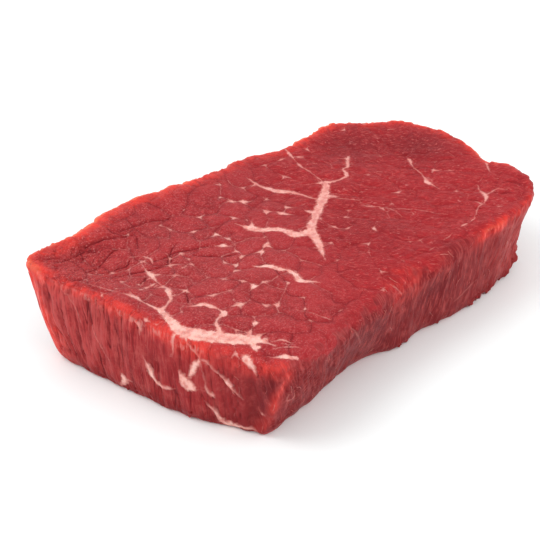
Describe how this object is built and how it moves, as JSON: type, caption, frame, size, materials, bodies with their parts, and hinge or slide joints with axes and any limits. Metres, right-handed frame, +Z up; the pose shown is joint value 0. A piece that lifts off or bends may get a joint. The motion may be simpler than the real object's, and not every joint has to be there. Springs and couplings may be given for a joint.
{
  "type": "raw beef sirloin steak",
  "caption": "Thick-cut raw beef sirloin steak with fat marbling, one solid slab that rests on its flat underside.",
  "frame": {"origin": "under the middle of the steak's box, on the surface it lies on", "axes": "+X along the steak's long side towards its rounded far end, +Y across it, +Z up"},
  "size_m": [0.186, 0.1122, 0.0377],
  "materials": {
    "raw_beef": null
  },
  "bodies": {
    "root": {"sirloin_steak": "raw_beef"}
  },
  "joints": []
}
